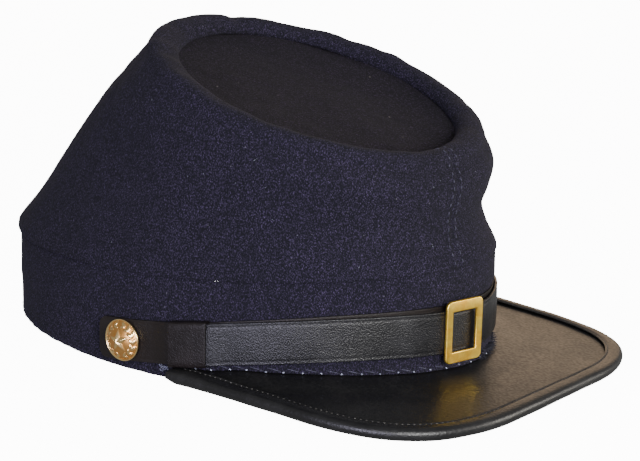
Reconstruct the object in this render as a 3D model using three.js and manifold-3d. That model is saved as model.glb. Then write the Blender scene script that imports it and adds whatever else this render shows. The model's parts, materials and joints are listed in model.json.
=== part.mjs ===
import * as THREE from "three";
import { mergeVertices } from "three/addons/utils/BufferGeometryUtils.js";
import Module from "manifold-3d";

// Kepi cap in millimetres, +Z up. The front faces -Y and the wearer's left side is +X.
// Angles round the head are 0 at the front centre and grow towards the wearer's left.

const wasm = await Module();
wasm.setup();

// Head band
const bandLength = 207.5;
const bandWidth = 154;
const bandWall = 2.6;
const bandRise = 36.2;
const bandFrontLift = 3.6;
const bandEndLift = 1.1;
const bandStepLength = 8;
const clearance = 0.3;

// Crown
const crownWall = 2;
const crownOverhang = 1;
const crownHem = 1.5;
const crownSwell = 10;
const rimLength = 126;
const rimWidth = 122;
const rimLevel = 100.9;
const rimForward = 31.4;
const rimSlope = THREE.MathUtils.degToRad(17.4);
const rimRoll = 4.5;
const rimInset = 5.6;
const topSink = 5.4;
const topWall = 2;
const topSag = 1.2;

// Peak
const peakWall = 2;
const peakReach = 40.2;
const peakEndBack = 30;
const peakBeside = 7;
const peakCornerBack = 3.8;
const peakCornerSize = 52;
const peakAside = 2;
const peakSeat = 2.8;
const peakFrontDrop = 4.8;
const peakSideDrop = 2.2;
const bindingWidth = 6.9;
const bindingWall = 1.1;

// Chin strap
const strapWidth = 16;
const strapWall = 1.2;
const strapLevel = 10.4;
const strapFrontLift = 9.4;
const strapArch = 2.2;
const strapLeftLift = 2;
const strapLeftLiftTurn = THREE.MathUtils.degToRad(14);
const strapLayerStep = 0.8;
const strapTipTurn = THREE.MathUtils.degToRad(15);
const strapEndBeyondButton = 8;
const keeperWidth = 15;
const keeperWall = 0.9;
const keeperCornerCut = 0.55;
const keeperFromButton = 27;
const keeperBlend = 9;

// Buckle
const buckleWidth = 18.8;
const buckleHeight = 22;
const buckleWall = 1.4;
const buckleSideBar = 3.2;
const buckleEndBar = 3.9;
const buckleCorner = 2.2;
const buckleDrop = 1.6;
const buckleAside = -8.6;
const backBarWidth = 4;
const backBarWall = 0.8;
const backBarBlend = 14;

// Side buttons
const buttonDiameter = 16;
const buttonEdge = 1.2;
const buttonRim = 0.9;
const buttonDome = 2.4;
const shankDiameter = 3;
const buttonFromFront = 139.5;

// How finely the shapes are divided
const tableSteps = 360;
const ringSteps = 72;
const bandStepSteps = 4;
const rollSteps = 4;
const topRings = [1, 0.92, 0.6, 0.3];
const peakSteps = 45;
const peakRows = 5;
const bindingRows = 5;
const strapSteps = 45;
const endSteps = 4;
const keeperSteps = 5;
const cornerSteps = 3;
const buttonSides = 24;
const shankSides = 16;
const domeSteps = 6;

// Where the head band leaves its ellipse: where round the head and how wide to each side in
// degrees, and how far out as a share of bandWidth
const bandBends = [
  { name: "flatter left of the buckle", turn: 37, wide: 34, out: -0.011 },
];

// The crown's side between band and rim: each row is a share of the rise, and how far the cloth
// stands out there from a straight wall, as shares of crownSwell
const crownRows = [
  { rise: 0.0, front: 0.0, side: 0.0, rear: 0.0 },
  { rise: 0.08, front: -0.15, side: 0.04, rear: -0.05 },
  { rise: 0.2, front: -0.35, side: 0.06, rear: -0.15 },
  { rise: 0.4, front: -0.45, side: -0.08, rear: 0.0 },
  { rise: 0.6, front: -0.05, side: 0.0, rear: 0.15 },
  { rise: 0.8, front: 0.3, side: 0.2, rear: 0.15 },
  { rise: 0.92, front: 0.2, side: 0.15, rear: 0.0 },
];

// Soft dents in the crown's side: where round the head in degrees and how far up, how wide and
// how tall to each side, in degrees and in shares of the rise, and how deep as a share of crownSwell
const crownDents = [
  { name: "hollow left of the front", turn: 40, rise: 0.35, wide: 50, tall: 0.3, depth: 0.1 },
];

function finish(name, color, roughness, metalness) {
  return new THREE.MeshStandardMaterial({ name, color, roughness, metalness });
}

const cloth = finish("navy wool", 0x23222e, 0.95, 0);
const clothTop = finish("wool top", 0x2a2631, 0.95, 0);
const leather = finish("black leather", 0x17171a, 0.35, 0);
const brass = finish("brass", 0xd2a640, 0.3, 1);

// Numbers

function spread(from, to, count) {
  return Array.from({ length: count }, (_, i) => THREE.MathUtils.lerp(from, to, i / (count - 1)));
}

function fullTurn(count) {
  return Array.from({ length: count }, (_, i) => (i / count) * 2 * Math.PI);
}

// 1 in the middle, 0 from 1 outwards, smooth between
function bump(x) {
  return Math.abs(x) < 1 ? 0.5 + 0.5 * Math.cos(Math.PI * x) : 0;
}

// 1 within half of the middle, smooth down to 0 over the blend
function plateau(x, half, blend) {
  return bump(Math.max(0, Math.abs(x) - half) / blend);
}

function degreesApart(turn, place) {
  const apart = THREE.MathUtils.radToDeg(turn) - place;
  return Math.abs(THREE.MathUtils.euclideanModulo(apart + 180, 360) - 180);
}

// Solids from grids of points

function geometryFromFaces(points, faces) {
  const geometry = new THREE.BufferGeometry();
  const places = points.flatMap((p) => [p.x, p.y, p.z]);
  geometry.setAttribute("position", new THREE.Float32BufferAttribute(places, 3));
  let volume = 0;
  for (const [a, b, c] of faces) {
    volume += points[a].dot(new THREE.Vector3().crossVectors(points[b], points[c])) / 6;
  }
  geometry.setIndex(volume < 0 ? faces.flatMap(([a, b, c]) => [a, c, b]) : faces.flat());
  return geometry;
}

// A solid skinned over loops of points with equal counts. A closed run meets itself; an open run
// has its two end loops filled in strips, each strip joining the loop's first half to its second.
function skin(loops, closed) {
  const count = loops[0].length;
  const faces = [];
  const quad = (a, b, c, d) => faces.push([a, b, c], [a, c, d]);
  const last = closed ? loops.length : loops.length - 1;
  for (let i = 0; i < last; i++) {
    const here = i * count;
    const next = ((i + 1) % loops.length) * count;
    for (let k = 0; k < count; k++) {
      const up = (k + 1) % count;
      quad(here + k, here + up, next + up, next + k);
    }
  }
  if (!closed) {
    const end = (loops.length - 1) * count;
    for (let k = 0; k < count / 2 - 1; k++) {
      const mate = count - 1 - k;
      quad(k, mate, mate - 1, k + 1);
      quad(end + k, end + k + 1, end + mate - 1, end + mate);
    }
  }
  return geometryFromFaces(loops.flat(), faces);
}

// A wall of even thickness behind a grid of surface points, grid[step][row]. Steps run to the
// wearer's left and rows upwards, as seen from outside.
function wall(grid, thickness, closed) {
  const steps = grid.length;
  const loops = grid.map((rows, i) => {
    const before = grid[closed ? (i + steps - 1) % steps : Math.max(i - 1, 0)];
    const after = grid[closed ? (i + 1) % steps : Math.min(i + 1, steps - 1)];
    const back = rows.map((point, k) => {
      const along = after[k].clone().sub(before[k]);
      const across = rows[Math.min(k + 1, rows.length - 1)].clone().sub(rows[Math.max(k - 1, 0)]);
      const normal = along.cross(across).normalize();
      return point.clone().addScaledVector(normal, -thickness);
    });
    return [...rows, ...back.reverse()];
  });
  return skin(loops, closed);
}

function solidOf(geometry, matrix = new THREE.Matrix4()) {
  const bare = geometry.clone().applyMatrix4(matrix);
  bare.deleteAttribute("normal");
  bare.deleteAttribute("uv");
  const merged = mergeVertices(bare, 1e-4);
  const vertProperties = new Float32Array(merged.getAttribute("position").array);
  const triVerts = new Uint32Array(merged.index.array);
  return new wasm.Manifold(new wasm.Mesh({ numProp: 3, vertProperties, triVerts }));
}

function geometryOf(solid) {
  const mesh = solid.getMesh();
  const geometry = new THREE.BufferGeometry();
  geometry.setAttribute("position", new THREE.Float32BufferAttribute(mesh.vertProperties, mesh.numProp));
  geometry.setIndex([...mesh.triVerts]);
  return geometry;
}

// Places round the band

function bandOutward(turn) {
  return new THREE.Vector3(Math.sin(turn) / bandWidth, -Math.cos(turn) / bandLength, 0).normalize();
}

function bandBend(turn) {
  const parts = bandBends.map((bend) => bend.out * bump(degreesApart(turn, bend.turn) / bend.wide));
  return bandWidth * parts.reduce((sum, part) => sum + part, 0);
}

function onBand(turn, out, height) {
  const x = (bandWidth / 2) * Math.sin(turn);
  const y = (-bandLength / 2) * Math.cos(turn);
  return new THREE.Vector3(x, y, height).addScaledVector(bandOutward(turn), out + bandBend(turn));
}

function seamHeight(turn) {
  return bandRise + bandFrontLift * Math.cos(turn) + bandEndLift * Math.cos(2 * turn);
}

// Turns from the back round the front to the back, each with its distance along the band's outside
// from the front centre, to the wearer's left
const bandTable = (() => {
  const rows = spread(-Math.PI, Math.PI, tableSteps + 1).map((turn) => ({ turn, distance: 0 }));
  for (let i = 1; i < rows.length; i++) {
    const step = onBand(rows[i].turn, 0, 0).distanceTo(onBand(rows[i - 1].turn, 0, 0));
    rows[i].distance = rows[i - 1].distance + step;
  }
  const front = rows[tableSteps / 2].distance;
  return rows.map((row) => ({ turn: row.turn, distance: row.distance - front }));
})();

function turnAt(distance) {
  const after = bandTable.findIndex((row) => row.distance > distance);
  const [a, b] = [bandTable[after - 1], bandTable[after]];
  return THREE.MathUtils.mapLinear(distance, a.distance, b.distance, a.turn, b.turn);
}

// Rim and crown

const rimAcross = new THREE.Vector3(1, 0, 0);
const rimAlong = new THREE.Vector3(0, Math.cos(rimSlope), Math.sin(rimSlope));
const rimUp = new THREE.Vector3(0, -Math.sin(rimSlope), Math.cos(rimSlope));
const rimCentre = new THREE.Vector3(0, -rimForward, rimLevel);

function onRim(turn, out, up) {
  return rimCentre
    .clone()
    .addScaledVector(rimAcross, (rimWidth / 2 + out) * Math.sin(turn))
    .addScaledVector(rimAlong, -(rimLength / 2 + out) * Math.cos(turn))
    .addScaledVector(rimUp, up);
}

function crownStand(row, turn) {
  const front = Math.max(0, Math.cos(turn)) ** 2;
  const rear = Math.max(0, -Math.cos(turn)) ** 2;
  let stand = row.front * front + row.rear * rear + row.side * (1 - front - rear);
  for (const dent of crownDents) {
    const round = bump(degreesApart(turn, dent.turn) / dent.wide);
    stand -= dent.depth * round * bump((row.rise - dent.rise) / dent.tall);
  }
  return stand * crownSwell;
}

function crownColumn(turn) {
  const foot = onBand(turn, crownOverhang, seamHeight(turn));
  const hem = onBand(turn, crownOverhang, seamHeight(turn) + crownHem);
  const shoulder = onRim(turn, rimRoll, -rimRoll);
  const side = crownRows.map((row) =>
    hem.clone().lerp(shoulder, row.rise).addScaledVector(bandOutward(turn), crownStand(row, turn)));
  const roll = spread(0, Math.PI / 2, rollSteps).map((a) =>
    onRim(turn, rimRoll * Math.cos(a), rimRoll * (Math.sin(a) - 1)));
  const fall = spread(Math.PI / 2, Math.PI, rollSteps).slice(1).map((a) =>
    onRim(turn, rimInset * Math.cos(a), (topSink - crownWall) * (Math.sin(a) - 1)));
  return [foot, ...side, ...roll, ...fall, onRim(turn, -rimInset, -topSink)];
}

function crownSide() {
  return wall(fullTurn(ringSteps).map(crownColumn), crownWall, true);
}

// The top lies under the end of the rolled rim and sags a little in its middle
function crownTop() {
  const under = -topSink - clearance;
  const columns = fullTurn(ringSteps).map((turn) => {
    const at = (share, down) => {
      const out = (share - 1) * (rimWidth / 2) - (rimInset - crownWall) * share;
      return onRim(turn, out, under - topSag * (1 - share ** 2) - down);
    };
    const above = topRings.map((share) => at(share, 0));
    const below = topRings.map((share) => at(share, topWall));
    return [...above, ...below.reverse()];
  });
  const points = columns.flat();
  const count = columns[0].length;
  const inner = topRings.length - 1;
  const middle = onRim(0, -rimLength / 2, under - topSag);
  const topMiddle = points.push(middle) - 1;
  const bottomMiddle = points.push(middle.clone().addScaledVector(rimUp, -topWall)) - 1;
  const faces = [];
  for (let i = 0; i < ringSteps; i++) {
    const here = i * count;
    const next = ((i + 1) % ringSteps) * count;
    faces.push([here + inner, topMiddle, next + inner], [here + inner + 1, next + inner + 1, bottomMiddle]);
    for (let k = 0; k < count; k++) {
      if (k !== inner) {
        const up = (k + 1) % count;
        faces.push([here + k, here + up, next + up], [here + k, next + up, next + k]);
      }
    }
  }
  return geometryFromFaces(points, faces);
}

// Peak

const peakWidth = bandWidth + 2 * peakBeside;
const peakFront = bandLength / 2 + peakReach;
const peakEndTurn = Math.acos(peakEndBack / (bandLength / 2));
const bandStepTurn = bandStepLength / (bandWidth / 2);
const bindingHalf = peakWall / 2 + clearance + bindingWall;

// The outline from the wearer's right end round the front to the left end, seen from above
const peakOutline = (() => {
  const side = peakWidth / 2;
  const [right, left] = [peakAside - side, peakAside + side];
  const cornerFront = peakFront - peakCornerBack;
  const join = side - peakCornerSize;
  const joinFront = peakFront - peakCornerBack * (join / side) ** 2;
  const leave = cornerFront - peakCornerSize;
  const path = new THREE.Path();
  path.moveTo(right, -peakEndBack);
  path.lineTo(right, -leave);
  path.quadraticCurveTo(right, -cornerFront, peakAside - join, -joinFront);
  path.quadraticCurveTo(peakAside, joinFront - 2 * peakFront, peakAside + join, -joinFront);
  path.quadraticCurveTo(left, -cornerFront, left, -leave);
  path.lineTo(left, -peakEndBack);
  return path;
})();

// Height of the middle of the peak's thickness
function peakHeight(x, y) {
  const forward = (-y - peakEndBack) / (peakFront - peakEndBack);
  return peakSeat - peakFrontDrop * forward * Math.abs(forward) - peakSideDrop * (x / (peakWidth / 2)) ** 2;
}

// A place on the peak, moved up square to it
function peakPoint(place, up) {
  const slopeX = (peakHeight(place.x + 1, place.y) - peakHeight(place.x - 1, place.y)) / 2;
  const slopeY = (peakHeight(place.x, place.y + 1) - peakHeight(place.x, place.y - 1)) / 2;
  const normal = new THREE.Vector3(-slopeX, -slopeY, 1).normalize();
  return new THREE.Vector3(place.x, place.y, peakHeight(place.x, place.y)).addScaledVector(normal, up);
}

// A place on the outline moved inward across it
function peakInset(share, inset) {
  const along = peakOutline.getTangentAt(share);
  return peakOutline.getPointAt(share).add(new THREE.Vector2(-along.y, along.x).multiplyScalar(inset));
}

// The plate ends where the round fold of the binding starts
function peakPlate() {
  const grid = spread(0, 1, peakSteps).map((share) => {
    const seat = onBand(peakEndTurn * (2 * share - 1), -bandWall, 0);
    const rim = peakInset(share, bindingHalf);
    return spread(0, 1, peakRows).map((row) => {
      const place = rim.clone().lerp(new THREE.Vector2(seat.x, seat.y), row);
      return peakPoint(place, peakWall / 2);
    });
  });
  return wall(grid, peakWall, false);
}

// The binding is folded round the edge of the plate
function peakBinding() {
  const grid = spread(0, 1, peakSteps).map((share) => {
    const lip = (up) => peakPoint(peakInset(share, bindingWidth), up);
    const fold = spread(-Math.PI / 2, Math.PI / 2, bindingRows).map((a) =>
      peakPoint(peakInset(share, bindingHalf * (1 - Math.cos(a))), bindingHalf * Math.sin(a)));
    return [lip(-bindingHalf), ...fold, lip(bindingHalf)];
  });
  return wall(grid, bindingWall, false);
}

// Band

// Over the peak the lower edge of the band rides on the plate
function bandFoot(turn) {
  const past = Math.abs(turn) - peakEndTurn;
  const ride = past <= 0 ? 1 : bump(past / bandStepTurn);
  const place = onBand(THREE.MathUtils.clamp(turn, -peakEndTurn, peakEndTurn), 0, 0);
  return ride * (peakPoint(place, peakWall / 2).z + clearance);
}

// Turns from the back round the front to the back, closer together at the ends of the peak
function bandTurns() {
  const stepEnd = peakEndTurn + bandStepTurn;
  const over = spread(0, peakEndTurn, ringSteps / 3);
  const step = spread(peakEndTurn, stepEnd, bandStepSteps).slice(1);
  const behind = spread(stepEnd, Math.PI, ringSteps / 4).slice(1);
  const left = [...over, ...step, ...behind];
  const right = left.slice(1, -1).map((turn) => -turn).reverse();
  return [...right, ...left];
}

function bandBody() {
  const grid = bandTurns().map((turn) => [
    onBand(turn, 0, bandFoot(turn)),
    onBand(turn, 0, seamHeight(turn) - clearance),
  ]);
  return geometryOf(withoutShankHoles(wall(grid, bandWall, true)));
}

// Chin strap

// The strap rides higher in front, and a little higher on the wearer's left
function strapFoot(turn) {
  const low = strapLevel - strapWidth / 2;
  const left = strapLeftLift * THREE.MathUtils.smoothstep(turn, -strapLeftLiftTurn, strapLeftLiftTurn);
  return low + strapFrontLift * Math.cos(turn) + strapArch * Math.sin(2 * turn) ** 2 + left;
}

const keeperPlace = buttonFromFront - keeperFromButton;

// How far the back of each layer stands off the band, at a distance from the front centre
function innerBack(distance) {
  const lift = plateau(Math.abs(distance) - keeperPlace, keeperWidth / 2, keeperBlend);
  return clearance + (keeperWall + clearance) * lift;
}

function outerBack(distance) {
  const lift = plateau(distance - buckleAside, backBarWidth, backBarBlend);
  return innerBack(distance) + strapWall + clearance + (backBarWall + clearance) * lift;
}

// Both edges of a strap layer's outside at a distance from the front centre
function strapSection({ distance, tall }, back, raised) {
  const turn = turnAt(distance);
  const middle = strapFoot(turn) + strapWidth / 2 + raised;
  return [-tall, tall].map((up) => onBand(turn, back(distance) + strapWall, middle + up));
}

// The inner layer has ends rounded to its own width, past the buttons
function strapInner() {
  const reach = buttonFromFront + strapEndBeyondButton;
  const half = strapWidth / 2;
  const leftEnd = spread(Math.PI / 2, strapTipTurn, endSteps).slice(1).map((a) =>
    ({ distance: reach - half * (1 - Math.cos(a)), tall: half * Math.sin(a) }));
  const rightEnd = leftEnd.map(({ distance, tall }) => ({ distance: -distance, tall })).reverse();
  const middle = spread(half - reach, reach - half, strapSteps).map((distance) =>
    ({ distance, tall: half }));
  const places = [...rightEnd, ...middle, ...leftEnd];
  const grid = places.map((place) => strapSection(place, innerBack, strapLayerStep));
  return geometryOf(withoutShankHoles(wall(grid, strapWall, false)));
}

// The outer layer has square ends, held in the keepers
function strapOuter() {
  const reach = keeperPlace + keeperWidth / 4;
  const tall = strapWidth / 2;
  const grid = spread(-reach, reach, strapSteps).map((distance) =>
    strapSection({ distance, tall }, outerBack, 0));
  return wall(grid, strapWall, false);
}

// A flat leather loop round both strap layers, with its corners cut
function keeper(side) {
  const corners = [[-1, -1], [1, -1], [1, 1], [-1, 1]];
  const ring = (distance, grow, cut) => {
    const turn = turnAt(distance);
    const back = innerBack(distance) - clearance - grow;
    const front = outerBack(distance) + strapWall + clearance + grow;
    const foot = strapFoot(turn) - clearance - grow;
    const head = strapFoot(turn) + strapWidth + strapLayerStep + clearance + grow;
    return corners.flatMap(([out, up]) => {
      const outTo = out < 0 ? back : front;
      const upTo = up < 0 ? foot : head;
      const flat = onBand(turn, outTo - out * cut, upTo);
      const upright = onBand(turn, outTo, upTo - up * cut);
      return out * up > 0 ? [upright, flat] : [flat, upright];
    });
  };
  const places = spread(-keeperWidth / 2, keeperWidth / 2, keeperSteps).map((aside) =>
    side * (keeperPlace + aside));
  const outside = places.map((distance) => ring(distance, keeperWall, keeperCornerCut));
  const inside = places.map((distance) => ring(distance, 0, keeperCornerCut / 2)).reverse();
  return skin(outside[0].map((_, k) => [...outside, ...inside].map((r) => r[k])), true);
}

// Where a piece on the strap stands: x along the strap, y across it, z away from the head
function standOn(distance, out, across) {
  const middle = (d) => onBand(turnAt(d), out, strapFoot(turnAt(d)) + strapWidth / 2);
  const outward = bandOutward(turnAt(distance));
  const along = middle(distance + 1).sub(middle(distance - 1)).projectOnPlane(outward).normalize();
  const upward = new THREE.Vector3().crossVectors(outward, along);
  const place = middle(distance).addScaledVector(upward, across);
  return new THREE.Matrix4().makeBasis(along, upward, outward).setPosition(place);
}

// Buckle: a flat frame over the strap, with a bar set back between the two strap layers

function rectangle(path, halfWidth, halfHeight, corner) {
  const [w, h, r] = [halfWidth, halfHeight, corner];
  path.moveTo(r - w, -h);
  path.lineTo(w - r, -h);
  path.quadraticCurveTo(w, -h, w, r - h);
  path.lineTo(w, h - r);
  path.quadraticCurveTo(w, h, w - r, h);
  path.lineTo(r - w, h);
  path.quadraticCurveTo(-w, h, -w, h - r);
  path.lineTo(-w, r - h);
  path.quadraticCurveTo(-w, -h, r - w, -h);
  return path;
}

function buckle() {
  const top = buckleHeight / 2;
  const windowTop = top - buckleEndBar;
  const plate = rectangle(new THREE.Shape(), buckleWidth / 2, top, buckleCorner);
  const inCorner = buckleCorner / 4;
  plate.holes.push(rectangle(new THREE.Path(), buckleWidth / 2 - buckleSideBar, windowTop, inCorner));
  const press = { depth: buckleWall, bevelEnabled: false, curveSegments: cornerSteps };
  const frame = new THREE.ExtrudeGeometry(plate, press);
  const barFront = -2 * clearance - strapWall;
  const barBack = barFront - backBarWall;
  const box = (low, high, front) => {
    const shape = new THREE.BoxGeometry(backBarWidth, high - low, front - barBack);
    return solidOf(shape.translate(0, (low + high) / 2, (front + barBack) / 2));
  };
  const strapTop = buckleDrop + strapWidth / 2 + clearance;
  const strapBottom = buckleDrop - strapWidth / 2 - clearance;
  return geometryOf(
    solidOf(frame)
      .add(box(strapTop, top, buckleWall / 2))
      .add(box(-top, Math.min(strapBottom, -windowTop), buckleWall / 2))
      .add(box(-top, top, barFront)),
  );
}

// Side buttons, each on a shank through the strap and the band

const buttonSeat = innerBack(buttonFromFront) + strapWall + clearance;

function withoutShankHoles(geometry) {
  const radius = shankDiameter / 2 + clearance;
  const through = 2 * (bandWall + buttonSeat);
  const drill = new THREE.CylinderGeometry(radius, radius, through, shankSides).rotateX(Math.PI / 2);
  const hole = (side) => solidOf(drill, standOn(side * buttonFromFront, 0, 0));
  return solidOf(geometry).subtract(hole(-1)).subtract(hole(1));
}

function button() {
  const radius = buttonDiameter / 2;
  const shank = shankDiameter / 2;
  const shankEnd = -(buttonSeat + bandWall);
  const at = (x, y) => new THREE.Vector2(x, y);
  const dome = spread(1, 0, domeSteps).map((share) =>
    at(share * (radius - buttonRim), buttonEdge - buttonRim / 2 + buttonDome * (1 - share ** 2)));
  const profile = [
    at(0, shankEnd),
    at(shank, shankEnd),
    at(shank, 0),
    at(radius - buttonRim / 2, 0),
    at(radius, buttonRim / 2),
    at(radius, buttonEdge),
    at(radius - buttonRim / 2, buttonEdge + buttonRim / 2),
    ...dome,
  ];
  return new THREE.LatheGeometry(profile, buttonSides).rotateX(Math.PI / 2);
}

// Assembly

const cap = new THREE.Group();

function add(name, geometry, material, matrix = new THREE.Matrix4()) {
  const mesh = new THREE.Mesh(geometry, material);
  mesh.name = name;
  mesh.applyMatrix4(matrix);
  cap.add(mesh);
  return mesh;
}

const buckleSeat = outerBack(buckleAside) + strapWall + clearance;

add("crown_side", crownSide(), cloth);
add("crown_top", crownTop(), clothTop);
add("band", bandBody(), cloth);
add("peak", peakPlate(), leather);
const binding = add("peak_binding", peakBinding(), leather);
add("strap_inner", strapInner(), leather);
add("strap_outer", strapOuter(), leather);
add("keeper_right", keeper(-1), leather);
add("keeper_left", keeper(1), leather);
add("buckle", buckle(), brass, standOn(buckleAside, buckleSeat, -buckleDrop));
add("button_right", button(), brass, standOn(-buttonFromFront, buttonSeat, 0));
add("button_left", button(), brass, standOn(buttonFromFront, buttonSeat, 0));

// At rest the cap stands on the back of its band and the front corners of its peak
function restTilt() {
  const rear = bandLength / 2;
  const places = binding.geometry.getAttribute("position");
  let tilt = 0;
  for (let i = 0; i < places.count; i++) {
    tilt = Math.max(tilt, Math.atan2(-places.getZ(i), rear - places.getY(i)));
  }
  return tilt;
}

const rested = new THREE.Group();
rested.add(cap);
cap.rotation.x = -restTilt();
const bounds = new THREE.Box3().setFromObject(rested, true);
const centre = bounds.getCenter(new THREE.Vector3());
rested.position.set(-centre.x, -centre.y, -bounds.min.z);

export default rested;
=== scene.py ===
import bisect
import json
import math
import random

import bmesh
import bpy
from mathutils import Matrix, Vector, noise
from mathutils.bvhtree import BVHTree


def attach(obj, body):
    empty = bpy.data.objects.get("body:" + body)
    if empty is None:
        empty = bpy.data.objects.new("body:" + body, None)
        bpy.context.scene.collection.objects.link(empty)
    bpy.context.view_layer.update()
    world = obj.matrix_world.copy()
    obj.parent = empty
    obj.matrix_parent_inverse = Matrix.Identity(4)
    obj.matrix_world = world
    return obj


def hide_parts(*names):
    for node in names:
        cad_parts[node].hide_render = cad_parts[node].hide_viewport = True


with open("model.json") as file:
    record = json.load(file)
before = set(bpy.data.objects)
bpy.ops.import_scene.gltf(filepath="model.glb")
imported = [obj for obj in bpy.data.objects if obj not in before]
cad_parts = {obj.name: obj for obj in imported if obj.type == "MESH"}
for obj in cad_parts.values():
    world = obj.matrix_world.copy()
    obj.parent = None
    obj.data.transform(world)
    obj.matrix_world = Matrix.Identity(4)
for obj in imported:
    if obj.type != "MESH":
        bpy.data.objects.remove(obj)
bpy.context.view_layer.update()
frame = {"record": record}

# Lengths are in millimetres in the cap's own frame: its band stands upright on z = 0, the front
# faces -Y, and turns round the head are 0 at the front and grow towards the wearer's left.
MM = 0.001

# Head band
band_length = 207.5
band_width = 154
band_wall = 2.6
band_rise = 36.2
band_front_lift = 3.6
band_end_lift = 1.1
band_step_length = 3
clearance = 0.3

# Crown
crown_wall = 2
crown_overhang = 1
crown_hem = 1.5
crown_foot_up = 0.3
crown_foot_out = 0.75
crown_tuck_up = 0.1
crown_swell = 10
rim_length = 126
rim_width = 122
rim_level = 100.9
rim_forward = 31.4
rim_slope = math.radians(17.4)
rim_roll = 4.5
rim_inset = 5.6
top_sink = 5.4
top_wall = 2
top_sag = 1.2
crown_ripple = 0.18
rim_ripple = 0.45
rim_ripple_rise = (60, 105)
seam_groove = 0.22
seam_groove_wide = 1.5
seam_lip = 0.22
seam_arc_share = 0.75
seam_pull_share = 0.6
seam_pull_wide = 0.8
seam_pull_rows = 3
seam_stitch_aside = 2.2
seam_stitch_length = 2
seam_stitch_step = 3
seam_stitch_top = 84
seam_stitch_wide = 0.5

# Peak
peak_wall = 2
peak_reach = 40.2
peak_end_back = 27
peak_beside = 7
peak_corner_back = 3.8
peak_corner_size = 52
peak_aside = 2
peak_seat = 2.8
peak_front_drop = 4.8
peak_side_drop = 2.2
peak_left_rise = 2.2
left_rise_along = (-112, -40)
left_rise_across = (20, 80)
seat_rise_wide = 14
peak_end_taper = 5
peak_end_thin = 0.3
binding_width = 6.9
binding_wall = 1.1
binding_skin_share = 0.6

# Chin strap
strap_width = 16
strap_wall = 1.2
strap_level = 9.3
strap_front_lift = 9.1
strap_arch = 2.2
strap_left_lift = -0.1
strap_left_lift_turn = math.radians(14)
strap_layer_step = 1.3
strap_tip_turn = math.radians(9)
strap_end_beyond_button = 12.5
strap_tip_radius = 3.5
strap_groove_from_edge = 1.3
strap_groove_wide = 0.7
strap_groove_depth = 0.1
strap_belly = 0.15
keeper_width = 15
keeper_wall = 0.6
keeper_from_button = 29
keeper_blend = 9
keeper_play = 0.08
keeper_corner = 1.2

# Buckle
buckle_width = 18
buckle_height = 23.6
buckle_wall = 1.4
buckle_side_bar = 3
buckle_end_bar = 4.2
buckle_corner = 2.2
buckle_drop = -0.1
buckle_aside = -8.6
buckle_tilt = math.radians(0.5)
buckle_yaw = math.radians(-4)
back_bar_width = 4
back_bar_wall = 0.8
back_bar_blend = 14
back_bar_inset = 1.5
post_in_frame = 0.9
post_gap = 0.02

# Side buttons
button_diameter = 16
shank_diameter = 3
shank_chamfer = 0.2
shank_gap = 0.05
button_from_front = 139.5

# The band's cut lower edge, pushed outward over the peak, and its small waves
band_flare = 2
band_flare_tall = 9
band_flare_past_peak = 0.2
cut_edge_ripple = 0.5
cut_edge_tall = 6

# The band's cloth stands out above the strap, most in front on the wearer's left: from the start
# to the full height, counted from the strap's upper edge, and back to nothing below the crown
band_puff = 0.4
band_side_puff = (42, 60, 1.7)
band_puff_start = -2
band_puff_full = 4
band_puff_hem = (-0.2, 1.4)
crown_puff_share = 0.4

# Threads along the band's lower edge
whip_step = 6.8
whip_above_edge = 0.4
whip_lean = 0.07
whip_rise = 1.5
whip_thread_wide = 0.4
whip_end_wide = 0.66

# Stitches along the binding: share of its width, steps round the peak, length and width
binding_stitch_inset = 0.845
binding_stitch_steps = 150
binding_stitch_length = 1.0
binding_stitch_wide = 0.42

# Lint, and the tuft at the peak's end
lint_count = 60
lint_wide = 0.13
lint_out = 12
lint_below_rim = 70
tuft_count = 16
tuft_tall = 2.6
tuft_wide = 0.5

# Loose fibres: their width, how far up they start, and for each place the turns between, how many
# and the longest
fibre_wide = 0.36
fray_tall = 2.6
frayed_places = [(2, 26, 130, 3), (-70, 70, 90, 1.2), (70, 290, 160, 1)]

# Swellings round the head: turn and width to each side in degrees, and how far in millimetres.
# In front on the wearer's left the band goes in from its ellipse and the rim stands out, and
# behind on the wearer's right the roll is wider
band_bend = (37, 34, -0.011 * band_width)
rim_swell = (-125, 80, 3.6)
rim_bulge = (45, 60, 1.5)

# The crown's side: share of the rise, and how far it stands out there in front, beside and behind,
# as shares of the swell
crown_rows = [
    (0.0, 0.0, 0.0, 0.0),
    (0.08, -0.12, 0.06, -0.03),
    (0.2, -0.29, 0.1, -0.05),
    (0.4, -0.34, 0.0, 0.2),
    (0.6, -0.02, 0.05, 0.3),
    (0.8, 0.3, 0.2, 0.15),
    (0.92, 0.2, 0.15, 0.0),
]

# The crown's front seam: height and turn in degrees
seam_path = [
    (36, -5.8), (42, -5.8), (48, -4.8), (55, -2.8), (62, -3.0), (70, -2.6), (77, 0.2), (88, 0.5),
]

# How far the peak's leather rises to its seat on the band: turn in degrees and millimetres
seat_rises = [
    (-75, 0), (-70, 0.6), (-60, 2.5), (-45, 2.9), (-30, 2.6), (-15, 1.9), (0, 1.3), (15, 0.8),
    (50, 0.9), (75, 0),
]

# A soft dent in the crown's side: turn and width in degrees and its depth as a share of the swell,
# then its middle and its height to each side as shares of the rise
crown_dent = (40, 50, 0.1)
crown_dent_rise = 0.35
crown_dent_tall = 0.3

# Puckers of the rolled rim: turn and width to each side in degrees, and how far up in millimetres
rim_puckers = [
    (-110, 60, 0.8),
    (162, 5, -0.9),
    (153, 4, 0.35),
    (116, 5, -0.6),
    (96, 7, 0.3),
    (-160, 9, -0.5),
    (-140, 6, 0.3),
    (60, 8, -0.3),
]

# The camera, solved from the ellipses of band, strap and top in a picture 640 pixels wide
camera_turn = math.radians(53.09)
camera_rise = math.radians(13.42)
camera_roll = math.radians(1.34)
camera_distance = 778.5
camera_aside = 28.27
camera_up = 35.77
camera_focus = 1921.5
picture_width = 640
sensor_width = 36


# Numbers


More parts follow.
